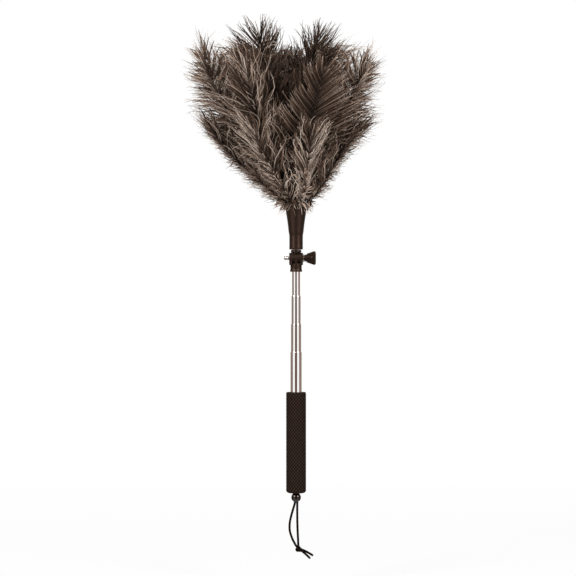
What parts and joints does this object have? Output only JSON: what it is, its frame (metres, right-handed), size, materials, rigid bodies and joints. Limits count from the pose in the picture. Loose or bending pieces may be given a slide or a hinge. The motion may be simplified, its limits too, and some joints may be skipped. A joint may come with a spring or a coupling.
{
  "type": "feather duster",
  "caption": "Ostrich feather duster with a tilting clamped head, a telescopic chromed tube, a foam grip and a cord loop.",
  "frame": {"origin": "on the pole's axis at the middle of the foam grip, where a hand holds it", "axes": "+Z along the pole from the grip to the plumes, +X along the tilt screw towards its thumb piece, -Y the side that faces the camera"},
  "size_m": [0.2049, 0.1944, 0.5945],
  "materials": {
    "foam": "matte",
    "chrome_tube": "polished",
    "spring_brass": "satin",
    "black_plastic": "gloss",
    "bright_steel": "satin",
    "cord_braid": "matte",
    "thread": "matte",
    "dowel_wood": "matte",
    "feather": "matte"
  },
  "bodies": {
    "handle": {"grip_sleeve": "foam", "tube_1": "chrome_tube", "end_plug": "black_plastic", "end_ball": "black_plastic", "lanyard_leg_left": "cord_braid", "lanyard_leg_right": "cord_braid", "lanyard_knot": "cord_braid", "lanyard_tail_upper": "cord_braid", "lanyard_tail_lower": "cord_braid"},
    "second_tube": {"tube_2": "chrome_tube", "slide_ring_2": "spring_brass"},
    "third_tube": {"tube_3": "chrome_tube", "slide_ring_3": "spring_brass"},
    "top_tube": {"tube_4": "chrome_tube", "slide_ring_4": "spring_brass", "pole_socket": "black_plastic", "clamp_nut": "bright_steel"},
    "head": {"pivot_yoke": "black_plastic", "head_stud": "bright_steel", "ferrule": "black_plastic", "core_dowel": "dowel_wood", "binding_1": "thread", "binding_2": "thread", "binding_3": "thread", "centre_plume_1": "feather", "centre_plume_2": "feather", "centre_plume_3": "feather", "centre_plume_4": "feather", "centre_plume_5": "feather", "centre_plume_6": "feather", "upper_plume_1": "feather", "upper_plume_2": "feather", "upper_plume_3": "feather", "upper_plume_4": "feather", "upper_plume_5": "feather", "upper_plume_6": "feather", "upper_plume_7": "feather", "upper_plume_8": "feather", "outer_plume_1": "feather", "outer_plume_2": "feather", "outer_plume_3": "feather", "outer_plume_4": "feather", "outer_plume_5": "feather", "outer_plume_6": "feather", "outer_plume_7": "feather", "outer_plume_8": "feather", "outer_plume_9": "feather", "skirt_plume_1": "feather", "skirt_plume_2": "feather", "skirt_plume_3": "feather", "skirt_plume_4": "feather", "skirt_plume_5": "feather", "skirt_plume_6": "feather", "skirt_plume_7": "feather", "skirt_plume_8": "feather"},
    "screw_carriage": {"clamp_washer": "bright_steel"},
    "thumbscrew": {"clamp_screw": "bright_steel", "thumb_knob": "black_plastic"}
  },
  "joints": [
    {"name": "tube_2_slide", "type": "slide", "parent": "handle", "child": "second_tube", "axis": [0, 0, 1], "range_m": [-0.027, 0.1064]},
    {"name": "tube_3_slide", "type": "slide", "parent": "second_tube", "child": "third_tube", "axis": [0, 0, 1], "range_m": [-0.027, 0.0993]},
    {"name": "tube_4_slide", "type": "slide", "parent": "third_tube", "child": "top_tube", "axis": [0, 0, 1], "range_m": [-0.0228, 0.0964]},
    {"name": "head_tilt", "type": "hinge", "parent": "top_tube", "child": "head", "pos_m": [0, 0, 0.20295], "axis": [1, 0, 0], "range_deg": [-90, 90]},
    {"name": "thumbscrew_travel", "type": "slide", "parent": "top_tube", "child": "screw_carriage", "axis": [1, 0, 0], "range_m": [0, 0.0024]},
    {"name": "thumbscrew_turn", "type": "hinge", "parent": "screw_carriage", "child": "thumbscrew", "pos_m": [0, 0, 0.20295], "axis": [1, 0, 0], "range_deg": [0, 1080]}
  ],
  "couplings": [
    {"joint": "thumbscrew_turn", "follows": "thumbscrew_travel", "rad_per_m": 7854}
  ]
}
